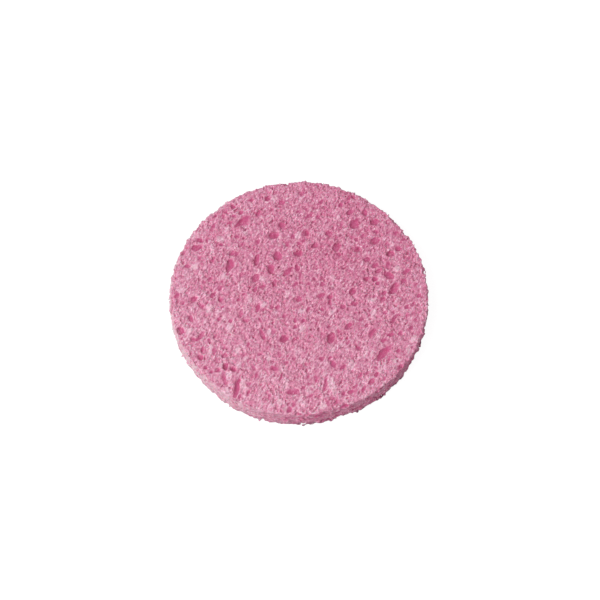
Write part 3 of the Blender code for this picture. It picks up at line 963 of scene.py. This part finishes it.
# the dark of the painted shade at the foot of the wall
PAINTED_FOOT_SHADE = (0.22, 0.2, 0.24)
FIBRE_SPACING = 0.7 * MM
FINE_FIBRE_SPACING = 0.35 * MM
DARK_FLECK_SPAN = (0.5, 0.3)  # of the fibre pattern, whose low places show dark and high ones pale
FIBRE_SPAN = (0.5, 0.7)
FIBRE_MOST = 0.36
FINE_FIBRE_SPAN = (0.52, 0.72)
FINE_FIBRE_MOST = 0.75
PLAIN_IN_PORE = 0.25  # how plainly flecks and fibres show in a pore, on the wall and from patch to patch
PLAIN_ON_WALL = 0.5
PLAIN_IN_PATCHES = (1.15, 0.7)
# how much paler the fibres show in the dents' painted highlight
PALER_IN_DENT_HIGHLIGHT = 1.7
WALL_SHEEN_SPAN = (-0.95 * PAD_RADIUS, 0)  # across the pad, from the lamp's side, where the painted sheen is strongest, to the middle
WALL_SHEEN_SPACING = 1.4 * MM
WALL_SHEEN_NOISE_SPAN = (0.35, 0.6)
WALL_SHEEN_LEAST_SHARE = 0.25
FOOT_SHADE_HEIGHTS = (0.6 * MM, 2.0 * MM)  # of its full shade, and of the last of it
FOOT_SHADE_SPACING = 2.2 * MM
FOOT_SHADE_NOISE_SPAN = (0.4, 0.52)
FOOT_SHADE_SPAN = (-0.5 * PAD_RADIUS, 0.9 * PAD_RADIUS)  # across the pad: the painted shade is deepest to the right, away from the lamp
FOOT_SHADE_LEAST_SHARE = 0.25
MIX_AMOUNT, MIX_UNDER, MIX_OVER = 0, 6, 7  # a Mix node's sockets, when it mixes colours
MIX_COLOUR = 2


def ramp(value, stops):
    """The colour that the stops give a value."""
    node = nodes.new("ShaderNodeValToRGB")
    links.new(value, node.inputs["Fac"])
    for position, _ in stops[1:-1]:
        node.color_ramp.elements.new(position)
    for element, (position, colour) in zip(node.color_ramp.elements, stops):
        element.position = position
        element.color = (*colour, 1)
    return node.outputs["Color"]


def blended(kind, amount, under, over):
    """A colour laid over a node's colour, by this kind of blend and in this amount."""
    node = nodes.new("ShaderNodeMix")
    node.data_type = "RGBA"
    node.blend_type = kind
    links.new(amount, node.inputs[MIX_AMOUNT])
    links.new(under, node.inputs[MIX_UNDER])
    node.inputs[MIX_OVER].default_value = (*over, 1)
    return node.outputs[MIX_COLOUR]


split = nodes.new("ShaderNodeSeparateXYZ")
links.new(place, split.inputs["Vector"])
across, height = split.outputs["X"], split.outputs["Z"]
fibre = noise(grained, FIBRE_SPACING, detail=3)
fine_fibre = noise(grained, FINE_FIBRE_SPACING, detail=1)
plain = times(mapped(painted_pore_shade, WHOLE, (1, PLAIN_IN_PORE)), mapped(patch, WHOLE, PLAIN_IN_PATCHES))
plain = times(plain, mapped(wall, WHOLE, (1, PLAIN_ON_WALL)))
dark = times(mapped(fibre, DARK_FLECK_SPAN), plain)
fine_pale = mapped(fine_fibre, FINE_FIBRE_SPAN, (0, FINE_FIBRE_MOST))
pale = plus(mapped(fibre, FIBRE_SPAN, (0, FIBRE_MOST)), fine_pale)
pale = times(times(pale, plain), mapped(dent_highlight, WHOLE, (1, PALER_IN_DENT_HIGHLIGHT)))
# painted sheen: the wall paler toward its left end, the side that the lamp lights, in patches
painted_wall_sheen = times(mapped(across, WALL_SHEEN_SPAN, (1, 0)), wall)
wall_sheen_patch = noise(place, WALL_SHEEN_SPACING, detail=2)
painted_wall_sheen = times(painted_wall_sheen, mapped(wall_sheen_patch, WALL_SHEEN_NOISE_SPAN, (WALL_SHEEN_LEAST_SHARE, 1)))
# painted shade at the foot of the wall, deeper to the right, away from the lamp, in patches
painted_foot_shade = times(mapped(height, FOOT_SHADE_HEIGHTS, (1, 0)), wall)
painted_foot_shade = times(painted_foot_shade, mapped(noise(place, FOOT_SHADE_SPACING, detail=1), FOOT_SHADE_NOISE_SPAN))
painted_foot_shade = times(painted_foot_shade, mapped(across, FOOT_SHADE_SPAN, (FOOT_SHADE_LEAST_SHARE, 1)))
# the pink's colours, with the painted shade, highlights and sheen laid over them
dye_and_painted_light = blended("MULTIPLY", dark, ramp(tone, PINK_TONE_STOPS), DARK_FLECK)
dye_and_painted_light = blended("MIX", pale, dye_and_painted_light, PALE_FIBRE)
dye_and_painted_light = blended("MIX", painted_wall_sheen, dye_and_painted_light, PAINTED_WALL_SHEEN)
dye_and_painted_light = blended("MULTIPLY", painted_foot_shade, dye_and_painted_light, PAINTED_FOOT_SHADE)
links.new(dye_and_painted_light, shader.inputs["Base Color"])

# Roughness too fine for the mesh, on the raised foam and not down in the pores
BUMP_SPACING = 0.3 * MM
BUMP_HEIGHT = 0.12 * MM
BUMP_STRENGTH = 0.6
BUMP_SPAN = (0.2, 0.7)  # millimetres under the cut
bump = nodes.new("ShaderNodeBump")
bump.inputs["Strength"].default_value = BUMP_STRENGTH
bump.inputs["Distance"].default_value = BUMP_HEIGHT
bumps = times(noise(place, BUMP_SPACING, detail=2), mapped(depth, BUMP_SPAN, (1, 0)))
links.new(bumps, bump.inputs["Height"])
links.new(bump.outputs["Normal"], shader.inputs["Normal"])
sponge.data.materials.append(material)
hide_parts("sponge_pad")
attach(sponge, "root")

# The floor. A plain white sheet that the pad lies on. It looks white to the camera and keeps the pad's soft
# shadow, and lights the pad as a pale grey one would.
FLOOR_REACH = 3.0
FLOOR_COLOUR = (0.45, 0.45, 0.45, 1)
FLOOR_ROUGHNESS = 0.9
FLOOR_SHINE = 0.1
FLOOR_GLOW = 1.8
FLOOR_GLOW_SHARE = 0.5  # of what the camera sees there, with the sheet's own grey for the rest
floor_mesh = bmesh.new()
bmesh.ops.create_grid(floor_mesh, x_segments=1, y_segments=1, size=FLOOR_REACH)
floor = bpy.data.objects.new("floor", bpy.data.meshes.new("floor"))
floor_mesh.to_mesh(floor.data)
floor_mesh.free()
bpy.context.scene.collection.objects.link(floor)
white = bpy.data.materials.new("white_sheet")
white.use_nodes = True
nodes, links = white.node_tree.nodes, white.node_tree.links
shader = nodes["Principled BSDF"]
shader.inputs["Base Color"].default_value = FLOOR_COLOUR
shader.inputs["Roughness"].default_value = FLOOR_ROUGHNESS
shader.inputs["Specular IOR Level"].default_value = FLOOR_SHINE


def seen_by_camera():
    """1 for a ray that the camera sees, straight or by way of a mirror or glass, and 0 for any other."""
    path = nodes.new("ShaderNodeLightPath")
    ways = [path.outputs[name] for name in ("Is Camera Ray", "Is Glossy Ray", "Is Transmission Ray")]
    return worked_out("MAXIMUM", worked_out("MAXIMUM", ways[0], ways[1]), ways[2])


glow = nodes.new("ShaderNodeEmission")
glow.inputs["Strength"].default_value = FLOOR_GLOW
mixed = nodes.new("ShaderNodeMixShader")
links.new(times(seen_by_camera(), FLOOR_GLOW_SHARE), mixed.inputs["Fac"])
links.new(shader.outputs[0], mixed.inputs[1])
links.new(glow.outputs[0], mixed.inputs[2])
links.new(mixed.outputs[0], nodes["Material Output"].inputs["Surface"])
floor.data.materials.append(white)

# The light. An even white surround, which looks plain white behind the pad, and one large soft lamp, high
# to the left of the pad and a little in front of it.
SURROUND_STRENGTH = 0.47
BACKDROP_STRENGTH = 1.0
LAMP_AWAY = 1.0
LAMP_HEADING = math.radians(210)
LAMP_HEIGHT = math.radians(47)
LAMP_SIZE = 0.7
LAMP_POWER = 7.85
world = bpy.data.worlds.new("surround")
bpy.context.scene.world = world
world.use_nodes = True
nodes, links = world.node_tree.nodes, world.node_tree.links
nodes["Background"].inputs["Color"].default_value = (1, 1, 1, 1)
strength = mapped(seen_by_camera(), WHOLE, (SURROUND_STRENGTH, BACKDROP_STRENGTH))
links.new(strength, nodes["Background"].inputs["Strength"])


def toward(heading, height):
    """The direction at this heading from X and this height above the floor."""
    flat = math.cos(height)
    return Vector((math.cos(heading) * flat, math.sin(heading) * flat, math.sin(height)))


def aimed(name, data, target, direction, away):
    """A lamp or camera this far from its target, in this direction from it, and turned to face it."""
    made = bpy.data.objects.new(name, data)
    made.location = target + direction * away
    made.rotation_euler = (-direction).to_track_quat("-Z", "Y").to_euler()
    bpy.context.scene.collection.objects.link(made)
    return made


lamp = bpy.data.lights.new("key", "AREA")
lamp.size = LAMP_SIZE
lamp.energy = LAMP_POWER
aimed("key", lamp, Vector(), toward(LAMP_HEADING, LAMP_HEIGHT), LAMP_AWAY)

# The camera. It looks down at the pad at the photograph's angle, through the lens that makes the pad as
# wide in the frame as it is there.
SENSOR = 36  # millimetres
FRAME_PIXELS = 600
PAD_PIXELS = 258.6  # across the pad in the photograph
PAD_WIDTH_SEEN = 76.2 * MM
CAMERA_AWAY = 0.6
CAMERA_HEADING = math.radians(-90)
CAMERA_HEIGHT = math.radians(64.8)
CAMERA_TARGET = Vector((0.32 * MM, -1.70 * MM, PAD_THICKNESS))
camera = bpy.data.cameras.new("camera")
camera.sensor_width = SENSOR
camera.lens = SENSOR * CAMERA_AWAY / (FRAME_PIXELS * PAD_WIDTH_SEEN / PAD_PIXELS)
camera_direction = toward(CAMERA_HEADING, CAMERA_HEIGHT)
bpy.context.scene.camera = aimed("camera", camera, CAMERA_TARGET, camera_direction, CAMERA_AWAY)
bpy.context.scene.view_settings.view_transform = "Standard"
